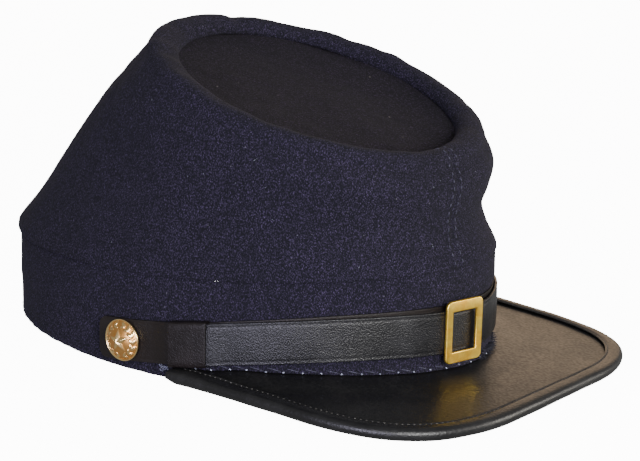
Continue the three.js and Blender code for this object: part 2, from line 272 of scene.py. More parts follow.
def spread(start, end, count):
    return [start + (end - start) * i / (count - 1) for i in range(count)]


def bump(x):
    """1 in the middle, 0 from 1 outwards, smooth between."""
    return 0.5 + 0.5 * math.cos(math.pi * x) if abs(x) < 1 else 0


def plateau(x, half, blend):
    return bump(max(0, abs(x) - half) / blend)


def smooth_step(x, low, high):
    share = min(max((x - low) / (high - low), 0), 1)
    return share * share * (3 - 2 * share)


def along_table(table, at):
    """The second column of a table at a value of its first, smooth between the rows."""
    for (low, before), (high, after) in zip(table, table[1:]):
        if at <= high:
            return before + (after - before) * smooth_step(at, low, high)
    return table[-1][1]


def swelling(turn, place, wide, size):
    """The size at a place round the head, in degrees, and 0 from a width to each side."""
    return size * bump(abs((math.degrees(turn) - place + 180) % 360 - 180) / wide)


def distances_along(points):
    """How far along a line of points each of them lies."""
    far = [0]
    for before, after in zip(points, points[1:]):
        far.append(far[-1] + (after - before).length)
    return far


def stretch_at(knots, at):
    """The number of the stretch between two knots where a distance lies."""
    return min(max(bisect.bisect_right(knots, at) - 1, 0), len(knots) - 2)


def evenly(points, count):
    """For count + 1 even distances along points: the stretch, its length and the share of it."""
    knots = distances_along(points)
    for n in range(count + 1):
        at = knots[-1] * n / count
        i = stretch_at(knots, at)
        gap = knots[i + 1] - knots[i]
        yield i, gap, (at - knots[i]) / gap


def smooth_line(points, count):
    """count + 1 points, evenly spaced along a smooth curve through the given points."""
    knots = distances_along(points)
    slopes = []
    for i in range(len(points)):
        low, high = max(i - 1, 0), min(i + 1, len(points) - 1)
        slopes.append((points[high] - points[low]) / (knots[high] - knots[low]))
    return [
        points[i] * (2 * s**3 - 3 * s**2 + 1)
        + slopes[i] * gap * (s**3 - 2 * s**2 + s)
        + points[i + 1] * (3 * s**2 - 2 * s**3)
        + slopes[i + 1] * gap * (s**3 - s**2)
        for i, gap, s in evenly(points, count)
    ]


def even_points(points, count):
    """count + 1 points, evenly spaced along a line of many points."""
    return [points[i].lerp(points[i + 1], share) for i, _, share in evenly(points, count)]


# From the cap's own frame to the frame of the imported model, which rests on its peak and band

rest_mount = frame["record"]["mounts"][0]
rest_down = Vector(rest_mount["axis"])
rest_pitch = math.atan2(-rest_down.y, -rest_down.z)
rest_turn = Matrix.Rotation(-rest_pitch, 4, "X")
rest_seat = Vector((0, band_length / 2 - band_wall / 2, 0)) * MM
rest_shift = Matrix.Translation(Vector(rest_mount["pos_m"]) - rest_turn @ rest_seat)
to_row = rest_shift @ rest_turn @ Matrix.Scale(MM, 4)


# Places round the band


def band_outward(turn):
    return Vector((math.sin(turn) / band_width, -math.cos(turn) / band_length, 0)).normalized()


def on_band(turn, out, height):
    x = band_width / 2 * math.sin(turn)
    y = -band_length / 2 * math.cos(turn)
    return Vector((x, y, height)) + band_outward(turn) * (out + swelling(turn, *band_bend))


def seam_height(turn):
    return band_rise + band_front_lift * math.cos(turn) + band_end_lift * math.cos(2 * turn)


table_turns = spread(-math.pi, math.pi, 721)
table_distances = distances_along([on_band(turn, 0, 0) for turn in table_turns])
front_distance = table_distances[len(table_distances) // 2]
table_distances = [distance - front_distance for distance in table_distances]


def turn_at(distance):
    """The turn at a distance along the band's outside from the front centre."""
    i = stretch_at(table_distances, distance)
    share = (distance - table_distances[i]) / (table_distances[i + 1] - table_distances[i])
    return table_turns[i] + (table_turns[i + 1] - table_turns[i]) * share


# Places on the rim and the crown

rim_centre = Vector((0, -rim_forward, rim_level))
rim_along = Vector((0, math.cos(rim_slope), math.sin(rim_slope)))
rim_square = Vector((0, -math.sin(rim_slope), math.cos(rim_slope)))


def on_rim(turn, out, up):
    aside = Vector(((rim_width / 2 + out) * math.sin(turn), 0, 0))
    ahead = rim_along * (-(rim_length / 2 + out) * math.cos(turn))
    return rim_centre + aside + ahead + rim_square * up


def crown_stand(row, turn):
    rise, in_front, beside, behind = row
    front = max(0, math.cos(turn)) ** 2
    rear = max(0, -math.cos(turn)) ** 2
    stand = in_front * front + behind * rear + beside * (1 - front - rear)
    stand -= swelling(turn, *crown_dent) * bump((rise - crown_dent_rise) / crown_dent_tall)
    return stand * crown_swell


def rim_inset_at(turn):
    return rim_inset + swelling(turn, *rim_swell)


def rim_lift(turn):
    return sum(swelling(turn, *pucker) for pucker in rim_puckers)


def band_puff_at(turn):
    return band_puff + swelling(turn, *band_side_puff)


def crown_run(turn):
    """Up the outside of the crown from its lower edge, over the rim and down to the top."""
    seam = seam_height(turn)
    inset, lift = rim_inset_at(turn), rim_lift(turn)
    puff = band_puff_at(turn) * crown_puff_share
    tuck = on_band(turn, clearance / 2, seam + crown_tuck_up)
    foot = on_band(turn, crown_overhang * crown_foot_out + puff, seam + crown_foot_up)
    hem = on_band(turn, crown_overhang + puff, seam + crown_hem)
    round_out = rim_roll + swelling(turn, *rim_bulge)
    shoulder = on_rim(turn, round_out, -rim_roll)
    side = [
        hem.lerp(shoulder, row[0]) + band_outward(turn) * crown_stand(row, turn)
        for row in crown_rows
    ]

    def quarter(out, tall, start):
        """A quarter of the rim's roll, from an angle on."""
        return [
            on_rim(turn, out * math.cos(a), (tall + lift) * math.sin(a) - tall)
            for a in spread(start, start + math.pi / 2, 5)
        ]

    roll = quarter(round_out, rim_roll, 0)
    fall = quarter(inset, top_sink - crown_wall, math.pi / 2)[1:]
    return [tuck, foot, *side, *roll, *fall, on_rim(turn, -inset, -top_sink)]


# Places on the peak

peak_width = band_width + 2 * peak_beside
peak_front = band_length / 2 + peak_reach
peak_end_turn = math.acos(peak_end_back / (band_length / 2))
band_step_turn = band_step_length / (band_width / 2)
binding_half = peak_wall / 2 + clearance + binding_wall


def peak_height(x, y):
    forward = (-y - peak_end_back) / (peak_front - peak_end_back)
    drop = peak_front_drop * forward * abs(forward)
    across, along = x / (band_width / 2), -y / (band_length / 2)
    beyond = (math.hypot(across, along) - 1) * (band_width + band_length) / 4
    rise = along_table(seat_rises, math.degrees(math.atan2(across, along)))
    rise *= bump(max(0, beyond) / seat_rise_wide)
    left = peak_left_rise * smooth_step(y, *left_rise_along) * smooth_step(x, *left_rise_across)
    return peak_seat - drop - peak_side_drop * (x / (peak_width / 2)) ** 2 + rise + left


def peak_point(place, up):
    slope_x = (peak_height(place.x + 1, place.y) - peak_height(place.x - 1, place.y)) / 2
    slope_y = (peak_height(place.x, place.y + 1) - peak_height(place.x, place.y - 1)) / 2
    normal = Vector((-slope_x, -slope_y, 1)).normalized()
    return Vector((place.x, place.y, peak_height(place.x, place.y))) + normal * up


def curved(start, pull, end, count=60):
    """Points of a quadratic curve."""
    return [
        start * (1 - s) ** 2 + pull * 2 * s * (1 - s) + end * s**2
        for s in spread(0, 1, count)
    ]


def peak_edge(count):
    """count + 1 places along the peak's outline, from the wearer's right end round the front."""

    def at(x, front):
        return Vector((peak_aside + x, -front))

    side = peak_width / 2
    corner = peak_front - peak_corner_back
    join = side - peak_corner_size
    join_front = peak_front - peak_corner_back * (join / side) ** 2
    leave = corner - peak_corner_size
    right_join, left_join = at(-join, join_front), at(join, join_front)
    line = [at(-side, peak_end_back)]
    line += curved(at(-side, leave), at(-side, corner), right_join)
    line += curved(right_join, at(0, 2 * peak_front - join_front), left_join)[1:]
    line += curved(left_join, at(side, corner), at(side, leave))[1:]
    line += [at(side, peak_end_back)]
    return even_points(line, count)


def inset_edge(edge, i, inset):
    """A place of the peak's outline moved inward across it."""
    along = (edge[min(i + 1, len(edge) - 1)] - edge[max(i - 1, 0)]).normalized()
    return edge[i] + Vector((-along.y, along.x)) * inset


def end_share(edge, i):
    """1 along the peak, less near its two ends, where it is pared thin."""
    near = min((edge[i] - edge[0]).length, (edge[i] - edge[-1]).length)
    full = math.sin(math.pi / 2 * min(near / peak_end_taper, 1))
    return peak_end_thin + (1 - peak_end_thin) * full


def band_foot(turn):
    """The band's lower edge rides on the peak and elsewhere sinks to the surface below the cap."""
    past = abs(turn) - peak_end_turn
    ride = 1 if past <= 0 else bump(past / band_step_turn)
    place = on_band(min(max(turn, -peak_end_turn), peak_end_turn), 0, 0)
    over_peak = peak_point(place, peak_wall / 2).z + clearance
    ground = clearance - (band_length / 2 - on_band(turn, 0, 0).y) * math.tan(rest_pitch)
    return ride * over_peak + (1 - ride) * ground


# Places on the strap


def strap_foot(turn):
    low = strap_level - strap_width / 2
    left = strap_left_lift * smooth_step(turn, -strap_left_lift_turn, strap_left_lift_turn)
    return low + strap_front_lift * math.cos(turn) + strap_arch * math.sin(2 * turn) ** 2 + left


keeper_place = button_from_front - keeper_from_button


def layer_step_at(distance):
    """How far the inner layer shows above the outer one: most at the buckle, not at the keepers."""
    return strap_layer_step * bump((distance - buckle_aside) / keeper_place)


def inner_back(distance):
    lift = plateau(abs(distance) - keeper_place, keeper_width / 2, keeper_blend)
    return clearance + (keeper_wall + clearance) * lift


def outer_back(distance):
    """The outer layer rises over the back bar and is pressed flat under the buckle."""
    aside = distance - buckle_aside
    lift = (back_bar_wall + clearance) * plateau(aside, back_bar_width, back_bar_blend)
    front_radius = band_width**2 / (2 * band_length)
    lift += aside**2 / (4 * front_radius) * plateau(aside, buckle_width / 2, buckle_width)
    return inner_back(distance) + strap_wall + clearance + lift


def stand_on(distance, out, across):
    """Where a piece on the strap stands: x along it, y across it, z away from the head."""

    def middle(d):
        return on_band(turn_at(d), out, strap_foot(turn_at(d)) + strap_width / 2)

    outward = band_outward(turn_at(distance))
    along = middle(distance + 1) - middle(distance - 1)
    along = (along - outward * along.dot(outward)).normalized()
    upward = outward.cross(along)
    place = middle(distance) + upward * across
    return Matrix.Translation(place) @ axes(along, upward, outward)


# Making pieces


def surface(steps, rows, place, size, closed=False):
    """A grid laid along place(step, row), with a UV map in metres of the given size."""
    bm = bmesh.new()
    uv = bm.loops.layers.uv.new("surface")
    bmesh.ops.create_grid(bm, x_segments=steps, y_segments=rows, size=0.5, calc_uvs=True)
    for face in bm.faces:
        for loop in face.loops:
            share = loop[uv].uv
            loop[uv].uv = (share.x * size[0] * MM, share.y * size[1] * MM)
    for vert in bm.verts:
        step = round((vert.co.x + 0.5) * steps)
        row = round((vert.co.y + 0.5) * rows)
        vert.co = place(step, row)
    if closed:
        bmesh.ops.remove_doubles(bm, verts=bm.verts, dist=1e-4)
    bm.normal_update()
    return bm


def uneven(bm, amount, grain, seed):
    """Moves a surface in and out by a soft noise: amount, or amount(point), and grain in mm."""
    moves = []
    for vert in bm.verts:
        wave = noise.noise(vert.co / grain + Vector((seed, seed, seed)))
        depth = amount(vert.co) if callable(amount) else amount
        moves.append(vert.normal * (wave * depth))
    for vert, move in zip(bm.verts, moves):
        vert.co += move
    bm.normal_update()


def placed(name, data):
    """A new object in the scene."""
    made = bpy.data.objects.new(name, data)
    bpy.context.scene.collection.objects.link(made)
    return made


def meshed(name, bm, material):
    """A new object with the faces of a bmesh, which is freed."""
    mesh = bpy.data.meshes.new(name)
    bm.to_mesh(mesh)
    bm.free()
    mesh.materials.append(material)
    return placed(name, mesh)


def axes(x, y, z):
    """A matrix whose axes are the three given ones."""
    return Matrix((x, y, z)).transposed().to_4x4()


def piece(name, bm, material, replaced=()):
    """A finished object from a bmesh in the cap's own frame."""
    bmesh.ops.transform(bm, matrix=to_row, verts=bm.verts)
    for face in bm.faces:
        face.smooth = True
    made = meshed(name, bm, material)
    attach(made, "root")
    if replaced:
        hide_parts(*replaced)
    return made


def soften(made, width, segments=3, angle=40):
    """Rounds the sharp edges of a piece."""
    bevel = made.modifiers.new("soft edges", "BEVEL")
    bevel.width = width * MM
    bevel.segments = segments
    bevel.limit_method = "ANGLE"
    bevel.angle_limit = math.radians(angle)


def shell(name, bm, wall, material, replaced, rounding=0):
    """A walled piece from its outer surface. Gives that surface back as a tree to search."""
    tree = BVHTree.FromBMesh(bm)
    made = piece(name, bm, material, [replaced])
    solid = made.modifiers.new("wall", "SOLIDIFY")
    solid.thickness = wall * MM
    solid.offset = -1
    if rounding:
        soften(made, rounding)
    return tree


# Materials


def fill(tree, made, values):
    """Sets a node's inputs to values, or links them from sockets."""
    for name, value in values.items():
        if isinstance(value, bpy.types.NodeSocket):
            tree.links.new(value, made.inputs[name])
        else:
            made.inputs[name].default_value = value


def node(tree, kind, values, **settings):
    """A node with its settings and inputs."""
    made = tree.nodes.new(kind)
    for name, value in settings.items():
        setattr(made, name, value)
    fill(tree, made, values)
    return made


def group(name, inputs, outputs):
    """An empty node group with named sockets."""
    tree = bpy.data.node_groups.new(name, "ShaderNodeTree")
    for way, sockets in (("INPUT", inputs), ("OUTPUT", outputs)):
        for label, kind in sockets.items():
            tree.interface.new_socket(label, in_out=way, socket_type="NodeSocket" + kind)
    return tree, tree.nodes.new("NodeGroupInput").outputs, tree.nodes.new("NodeGroupOutput")


def own_place(tree):
    """Coordinates in the piece's own space, in metres."""
    return node(tree, "ShaderNodeTexCoord", {}).outputs["Object"]


def math_node(tree, operation, a, b):
    return node(tree, "ShaderNodeMath", {0: a, 1: b}, operation=operation).outputs[0]


def vector_node(tree, operation, values):
    return node(tree, "ShaderNodeVectorMath", values, operation=operation).outputs[0]


def ramp(tree, value, low=0.3, high=0.7, start=0.0, end=1.0):
    """start up to low, end from high, straight between."""
    values = {"Value": value, "From Min": low, "From Max": high, "To Min": start, "To Max": end}
    return node(tree, "ShaderNodeMapRange", values, clamp=True).outputs["Result"]


def mix_color(tree, share, a, b):
    return node(tree, "ShaderNodeMix", {0: share, 6: a, 7: b}, data_type="RGBA").outputs[2]


def cells(tree, vector, scale, feature="F1", randomness=1.0):
    values = {"Vector": vector, "Scale": scale, "Randomness": randomness}
    return node(tree, "ShaderNodeTexVoronoi", values, feature=feature).outputs


def noise_node(tree, vector, scale, detail=2.0, rough=0.5):
    values = {"Vector": vector, "Scale": scale, "Detail": detail, "Roughness": rough}
    return node(tree, "ShaderNodeTexNoise", values).outputs["Fac"]


def stretched(tree, vector, scale, turn):
    """Coordinates scaled and turned, so that a noise on them draws fibres or scratches."""
    values = {"Vector": vector, "Rotation": turn, "Scale": scale}
    return node(tree, "ShaderNodeMapping", values).outputs["Vector"]


def weighed(tree, *parts):
    """The sum of sockets, each times its weight."""
    total = None
    for socket, weight in parts:
        share = math_node(tree, "MULTIPLY", socket, weight)
        total = share if total is None else math_node(tree, "ADD", total, share)
    return total


def nap_group():
    """Felted wool: blobs of yarn, a fine fibre speckle, soft mottling and a few pale specks."""
    tree, given, result = group(
        "wool nap",
        {"Dark": "Color", "Light": "Color", "Speck": "Color", "Specks": "Float", "Grain": "Float"},
        {"Color": "Color", "Height": "Float"},
    )
    place = vector_node(tree, "SCALE", {0: own_place(tree), "Scale": given["Grain"]})
    leaning = stretched(tree, place, (1900, 1900, 1000), (0.6, 0.5, 0.2))
    yarn = cells(tree, leaning, 1.0, randomness=0.8)["Distance"]
    fine = noise_node(tree, place, 2200, 2, 0.6)
    coarse = noise_node(tree, place, 1250, 2, 0.5)
    mottle = noise_node(tree, place, 240, 3, 0.6)
    broad = noise_node(tree, place, 30, 2, 0.5)
    blobs = ramp(tree, yarn, 0.7, 0.1)
    tone = weighed(tree, (blobs, 0.34), (ramp(tree, fine), 0.33), (ramp(tree, coarse), 0.33))
    tone = math_node(tree, "POWER", ramp(tree, tone, 0.28, 0.85), 2.3)
    soft = weighed(tree, (ramp(tree, mottle), 0.35), (ramp(tree, broad), 0.25))
    soft = math_node(tree, "ADD", soft, 0.55)
    cloth = mix_color(tree, math_node(tree, "MULTIPLY", tone, soft), given["Dark"], given["Light"])
    cell = cells(tree, place, 300.0)
    near = ramp(tree, cell["Distance"], 0.13, 0.05)
    pick = node(tree, "ShaderNodeSeparateColor", {0: cell["Color"]}).outputs[0]
    speck = math_node(tree, "MULTIPLY", near, ramp(tree, pick, 0.9, 0.99))
    speck = math_node(tree, "MULTIPLY", speck, given["Specks"])
    color = mix_color(tree, speck, cloth, given["Speck"])
    fill(tree, result, {"Color": color, "Height": weighed(tree, (tone, 0.8), (mottle, 0.5))})
    return tree


def hide_group():
    """Leather: pebbled grain, fine creases and scuffs, which break up its gloss."""
    tree, given, result = group(
        "leather grain",
        {
            "Dark": "Color", "Scuffed": "Color", "Smooth": "Float", "Rough": "Float",
            "Grain": "Float", "Crease": "Float",
        },
        {"Color": "Color", "Roughness": "Float", "Height": "Float"},
    )
    place = own_place(tree)
    bent = node(tree, "ShaderNodeTexNoise", {"Vector": place, "Scale": 700.0, "Detail": 2.0})
    sway = vector_node(tree, "SCALE", {0: bent.outputs["Color"], "Scale": 0.0005})
    moved = vector_node(tree, "ADD", {0: place, 1: sway})
    cell = cells(tree, moved, given["Grain"], "SMOOTH_F1")["Distance"]
    crease = noise_node(tree, place, given["Crease"], 4, 0.6)
    scuffs = ramp(tree, noise_node(tree, place, 60, 5, 0.65), 0.45, 0.72)
    pits = ramp(tree, cell, 0.2, 0.75)
    dull = weighed(tree, (pits, 0.65), (scuffs, 0.35))
    values = {
        "Color": mix_color(tree, scuffs, given["Dark"], given["Scuffed"]),
        "Roughness": ramp(tree, dull, 0.0, 1.0, given["Smooth"], given["Rough"]),
        "Height": weighed(tree, (pits, -0.6), (crease, 0.9)),
    }
    fill(tree, result, values)
    return tree


def twist_group():
    """Spun thread: paler and darker along its length."""
    tree, given, result = group(
        "thread twist", {"Dark": "Color", "Light": "Color"}, {"Color": "Color"}
    )
    spots = ramp(tree, noise_node(tree, own_place(tree), 900, 2, 0.6), 0.35, 0.65)
    fill(tree, result, {"Color": mix_color(tree, spots, given["Dark"], given["Light"])})
    return tree


wool_nap = nap_group()
leather_grain = hide_group()
thread_twist = twist_group()


def shader(name, values):
    """A material with a Principled BSDF whose even values are set on its own sockets."""
    made = bpy.data.materials.new(name)
    made.use_nodes = True
    tree = made.node_tree
    bsdf = tree.nodes["Principled BSDF"]
    for label, value in values.items():
        bsdf.inputs[label].default_value = value
    return made, tree, bsdf


def bumped(tree, bsdf, height, strength, depth):
    values = {"Height": height, "Strength": strength, "Distance": depth * MM}
    fill(tree, bsdf, {"Normal": node(tree, "ShaderNodeBump", values).outputs["Normal"]})


def effect(tree, effect_group, values):
    """A node group placed in a material with its own values."""
    return node(tree, "ShaderNodeGroup", values, node_tree=effect_group).outputs


def wool(name, dark, light, speck, specks, sheen, grain):
    made, tree, bsdf = shader(
        name,
        {
            "Roughness": 0.95,
            "Specular IOR Level": 0.25,
            "Sheen Weight": sheen,
            "Sheen Roughness": 0.35,
            "Sheen Tint": (0.62, 0.6, 0.85, 1),
        },
    )
    values = {"Dark": dark, "Light": light, "Speck": speck, "Specks": specks, "Grain": grain}
    nap = effect(tree, wool_nap, values)
    fill(tree, bsdf, {"Base Color": nap["Color"]})
    bumped(tree, bsdf, nap["Height"], 0.8, 0.5)
    return made


def leather(name, dark, scuffed, rough, shine, grain, crease, depth, coat=0.0):
    """Leather whose roughness ranges from its cells to its pits."""
    made, tree, bsdf = shader(
        name,
        {"Specular IOR Level": shine, "Coat Weight": coat, "Coat Roughness": 0.2},
    )
    values = {"Dark": dark, "Scuffed": scuffed, "Smooth": rough[0], "Rough": rough[1]}
    hide = effect(tree, leather_grain, {**values, "Grain": grain, "Crease": crease})
    fill(tree, bsdf, {"Base Color": hide["Color"], "Roughness": hide["Roughness"]})
    bumped(tree, bsdf, hide["Height"], 0.9, depth)
    return made


def brass(name, bright, relief_shade_layer, rough, scratch):
    """Rubbed brass: brighter and browner patches under fine scratches."""
    made, tree, bsdf = shader(name, {"Metallic": 1.0})
    place = own_place(tree)
    streaks = noise_node(tree, stretched(tree, place, scratch, (0.3, 0.2, 0.5)), 1, 3, 0.6)
    cloud = noise_node(tree, place, 160, 4, 0.6)
    hammer = noise_node(tree, place, 420, 2, 0.5)
    wear = weighed(tree, (streaks, 0.5), (cloud, 0.5))
    values = {
        "Base Color": mix_color(tree, ramp(tree, cloud, 0.38, 0.66), bright, relief_shade_layer),
        "Roughness": ramp(tree, wear, 0.3, 0.7, *rough),
    }
    fill(tree, bsdf, values)
    bumped(tree, bsdf, weighed(tree, (streaks, 0.2), (hammer, 0.8)), 0.5, 0.12)
    return made


def thread(name, dark, light):
    made, tree, bsdf = shader(name, {"Roughness": 0.8, "Specular IOR Level": 0.3})
    twist = effect(tree, thread_twist, {"Dark": dark, "Light": light})
    fill(tree, bsdf, {"Base Color": twist["Color"]})
    return made


def struck_brass(name, bright, deep, rough):
    """Gilt relief with painted shade: bright where it stands up, with shade painted darker in its
    hollows.
    """
    made, tree, bsdf = shader(name, {"Metallic": 1.0})
    place = own_place(tree)
    high = node(tree, "ShaderNodeAttribute", {}, attribute_name="relief").outputs["Fac"]
    cloud = ramp(tree, noise_node(tree, place, 420, 4, 0.6))
    # share is 1 on the raised gilt and 0 in the hollows, where the deep colour is painted shade.
    share = weighed(tree, (high, 0.75), (cloud, 0.25))
    values = {
        "Base Color": mix_color(tree, share, deep, bright),
        "Roughness": ramp(tree, share, 0.0, 1.0, *rough),
    }
    fill(tree, bsdf, values)
    bumped(tree, bsdf, noise_node(tree, place, 1500, 3, 0.6), 0.2, 0.05)
    return made


navy_wool = wool(
    "navy wool", dark=(0.002, 0.002, 0.005, 1), light=(0.085, 0.063, 0.14, 1),
    speck=(0.2, 0.19, 0.24, 1), specks=0.4, sheen=0.012, grain=1.2,
)
# A darker copy of the navy wool for the sunk crown top: its darkness is painted shade.
shaded_top_wool = wool(
    "wool top", dark=(0.003, 0.0022, 0.0045, 1), light=(0.05, 0.031, 0.068, 1),
    speck=(0.22, 0.19, 0.2, 1), specks=0.6, sheen=0.008, grain=0.8,
)
peak_leather = leather(
    "peak leather", dark=(0.004, 0.004, 0.0045, 1), scuffed=(0.009, 0.0085, 0.0085, 1),
    rough=(0.36, 0.56), shine=0.5, grain=900, crease=90, depth=0.07, coat=0.04,
)
binding_leather = leather(
    "binding leather", dark=(0.004, 0.004, 0.0045, 1), scuffed=(0.009, 0.009, 0.0095, 1),
    rough=(0.34, 0.54), shine=0.5, grain=1300, crease=160, depth=0.1,
)
strap_leather = leather(
    "strap leather", dark=(0.0035, 0.0035, 0.0045, 1), scuffed=(0.008, 0.008, 0.01, 1),
    rough=(0.28, 0.48), shine=0.44, grain=2300, crease=1900, depth=0.13,
)
inner_leather = leather(
    "strap back leather", dark=(0.006, 0.0038, 0.0032, 1), scuffed=(0.01, 0.0072, 0.0064, 1),
    rough=(0.42, 0.62), shine=0.32, grain=1700, crease=200, depth=0.12,
)
keeper_leather = leather(
    "keeper leather", dark=(0.005, 0.0034, 0.0036, 1), scuffed=(0.01, 0.0072, 0.0074, 1),
    rough=(0.38, 0.62), shine=0.27, grain=2200, crease=700, depth=0.15,
)
buckle_brass = brass(
    "buckle brass", bright=(1.0, 0.72, 0.12, 1), relief_shade_layer=(0.78, 0.44, 0.05, 1),
    rough=(0.28, 0.46), scratch=(300, 300, 4000),
)
# The button's deep colour is painted shade in its hollows.
button_brass = struck_brass(
    "gilt brass", bright=(1.0, 0.76, 0.36, 1), deep=(0.72, 0.32, 0.07, 1), rough=(0.38, 0.16)
)
dark_thread = thread("dark thread", (0.022, 0.02, 0.02, 1), (0.09, 0.086, 0.082, 1))
tuft_thread = thread("loose thread", (0.05, 0.052, 0.08, 1), (0.2, 0.21, 0.28, 1))
seam_thread = thread("seam thread", (0.02, 0.02, 0.036, 1), (0.062, 0.06, 0.09, 1))
fray_thread = thread("frayed wool", (0.004, 0.004, 0.007, 1), (0.03, 0.03, 0.045, 1))
pale_thread = thread("pale thread", (0.12, 0.13, 0.18, 1), (0.34, 0.36, 0.45, 1))


# Crown

crown_steps = 420
crown_rises = 92
seam_middle = math.radians(-3)


def seam_turn_at(height):
    return math.radians(along_table(seam_path, height))


def seam_crowded(share):
    """The turn at a share of the way round from the back, with steps crowded at the front seam."""
    s = share * 2 - 1
    return seam_middle + math.pi * (0.5 * s + 0.5 * s**3)


def aside_of_seam(place, turn):
    """How far round from the front seam a place is, in mm."""
    return (turn - seam_turn_at(place.z)) * math.hypot(place.x, place.y) * seam_arc_share


def crown_side():
    def ripple(at):
        return rim_ripple * smooth_step(at.z, *rim_ripple_rise) + crown_ripple

    turns = [seam_crowded(i / crown_steps) for i in range(crown_steps + 1)]
    columns = [smooth_line(crown_run(turn), crown_rises) for turn in turns]
    for turn, column in zip(turns, columns):
        for k, place in enumerate(column):
            aside = aside_of_seam(place, turn)
            groove = seam_groove * bump(aside / seam_groove_wide)
            from_stitches = abs(aside) - seam_stitch_aside
            lip = seam_lip * bump(from_stitches / seam_groove_wide)
            pull = seam_lip * bump(from_stitches / seam_pull_wide)
            pull *= bump(k % seam_pull_rows / (seam_pull_rows / 2))
            out = lip - groove - pull * seam_pull_share
            column[k] = place + band_outward(turn) * out
    columns[-1] = columns[0]
    bm = surface(crown_steps, crown_rises, lambda i, k: columns[i][k], size=(600, 110), closed=True)
    uneven(bm, 0.8, grain=38, seed=3.7)
    uneven(bm, ripple, grain=9, seed=8.2)
    return shell("crown_side_cloth", bm, crown_wall, navy_wool, "crown_side")


def crown_top():
    steps, rows = 180, 40

    def place(i, k):
        share = k / rows
        turn = -2 * math.pi * i / steps
        edge = on_rim(turn, crown_wall - rim_inset_at(turn), 0)
        middle = on_rim(0, -rim_length / 2, 0)
        under = -top_sink - clearance - top_sag * (1 - share**2)
        return middle.lerp(edge, share) + rim_square * under

    bm = surface(steps, rows, place, size=(380, 60), closed=True)
    uneven(bm, 0.9, grain=30, seed=1.3)
    uneven(bm, 0.25, grain=7, seed=9.3)
    # The top takes the darker wool, whose darkness is painted shade.
    shell("crown_top_cloth", bm, top_wall, shaded_top_wool, "crown_top")


# Band


def band_cloth():
    steps, rows, crowding = 420, 26, 1.1

    def place(i, k):
        turn = math.pi * (2 * i / steps - 1)
        foot = band_foot(turn)
        head = seam_height(turn) + clearance
        up = (head - foot) * (k / rows) ** crowding
        flare = band_flare * bump(up / band_flare_tall)
        flare *= bump(turn / (peak_end_turn + band_flare_past_peak))
        over_strap = strap_foot(turn) + strap_width
        puff_low, puff_high = over_strap + band_puff_start, over_strap + band_puff_full
        puff = band_puff_at(turn) * smooth_step(foot + up, puff_low, puff_high)
        puff *= smooth_step(head - foot - up, *band_puff_hem)
        return on_band(turn, flare + puff, foot + up)

    def ripple(at):
        return cut_edge_ripple * smooth_step(-at.z, -cut_edge_tall, 0)

    bm = surface(steps, rows, place, size=(570, 40), closed=True)
    uneven(bm, 0.35, grain=22, seed=5.1)
    uneven(bm, ripple, grain=5, seed=2.2)
    return shell("band_cloth", bm, band_wall, navy_wool, "band", rounding=0.4)


# Peak


def peak_plate():
    steps, rows = 200, 44
    edge = peak_edge(steps)

    def place(i, k):
        seat = on_band(peak_end_turn * (2 * i / steps - 1), -band_wall, 0)
        rim = inset_edge(edge, i, binding_half)
        return peak_point(rim.lerp(Vector((seat.x, seat.y)), k / rows), peak_wall / 2)

    bm = surface(steps, rows, place, size=(330, 60))
    uneven(bm, 0.3, grain=34, seed=2.9)
    shell("peak_plate", bm, peak_wall, peak_leather, "peak")


# The binding's section: how far in from the peak's outline and how far up, from its lower lip
# round the fold to its upper lip, as shares of its width and of its half thickness
binding_section = [
    (1.0, -0.82), (0.94, -0.93), (0.84, -0.8), (0.72, -0.95), (0.5, -1.0), (0.3, -0.98),
    (0.13, -0.8), (0.03, -0.45), (0.0, 0.0), (0.03, 0.45), (0.13, 0.8), (0.3, 0.98),
    (0.5, 1.0), (0.72, 0.95), (0.84, 0.8), (0.94, 0.93), (1.0, 0.82),
]


def peak_binding():
    steps, rows = 320, 40
    edge = peak_edge(steps)
    corners = [Vector((a * binding_width, b * binding_half)) for a, b in binding_section]
    section = smooth_line(corners, rows)

    def place(i, k):
        inset, up = section[k]
        return peak_point(inset_edge(edge, i, inset), up if up > 0 else up * end_share(edge, i))

    bm = surface(steps, rows, place, size=(330, 20))
    uneven(bm, 0.22, grain=16, seed=6.6)
    skin = binding_wall * binding_skin_share
    return shell(
        "peak_binding_leather", bm, skin, binding_leather, "peak_binding",
        rounding=0.25,
    )


# Chin strap


def strap_layer(name, reach, back, raised_at, round_ends, material, replaced):
    steps, rows = 420, 40
    half = strap_width / 2
    tip_steps, tip = (14, strap_tip_radius) if round_ends else (0, 0)

    def section(i):
        """Distance from the front and half width at a step."""
        if tip_steps <= i <= steps - tip_steps:
            return (reach - tip) * (2 * (i - tip_steps) / (steps - 2 * tip_steps) - 1), half
        side = -1 if i < tip_steps else 1
        a = strap_tip_turn + (math.pi / 2 - strap_tip_turn) * min(i, steps - i) / tip_steps
        return side * (reach - tip * (1 - math.cos(a))), half - tip * (1 - math.sin(a))

    def place(i, k):
        distance, tall = section(i)
        up = tall * (2 * k / rows - 1)
        turn = turn_at(distance)
        from_edge = half - abs(up)
        groove = strap_groove_depth * bump((from_edge - strap_groove_from_edge) / strap_groove_wide)
        belly = strap_belly * (1 - (up / half) ** 2)
        out = back(distance) + strap_wall - groove + belly - strap_belly
        return on_band(turn, out, strap_foot(turn) + half + raised_at(distance) + up)

    bm = surface(steps, rows, place, size=(2 * reach, strap_width))
    uneven(bm, 0.12, grain=12, seed=4.4)
    shell(name, bm, strap_wall, material, replaced, rounding=0.3)


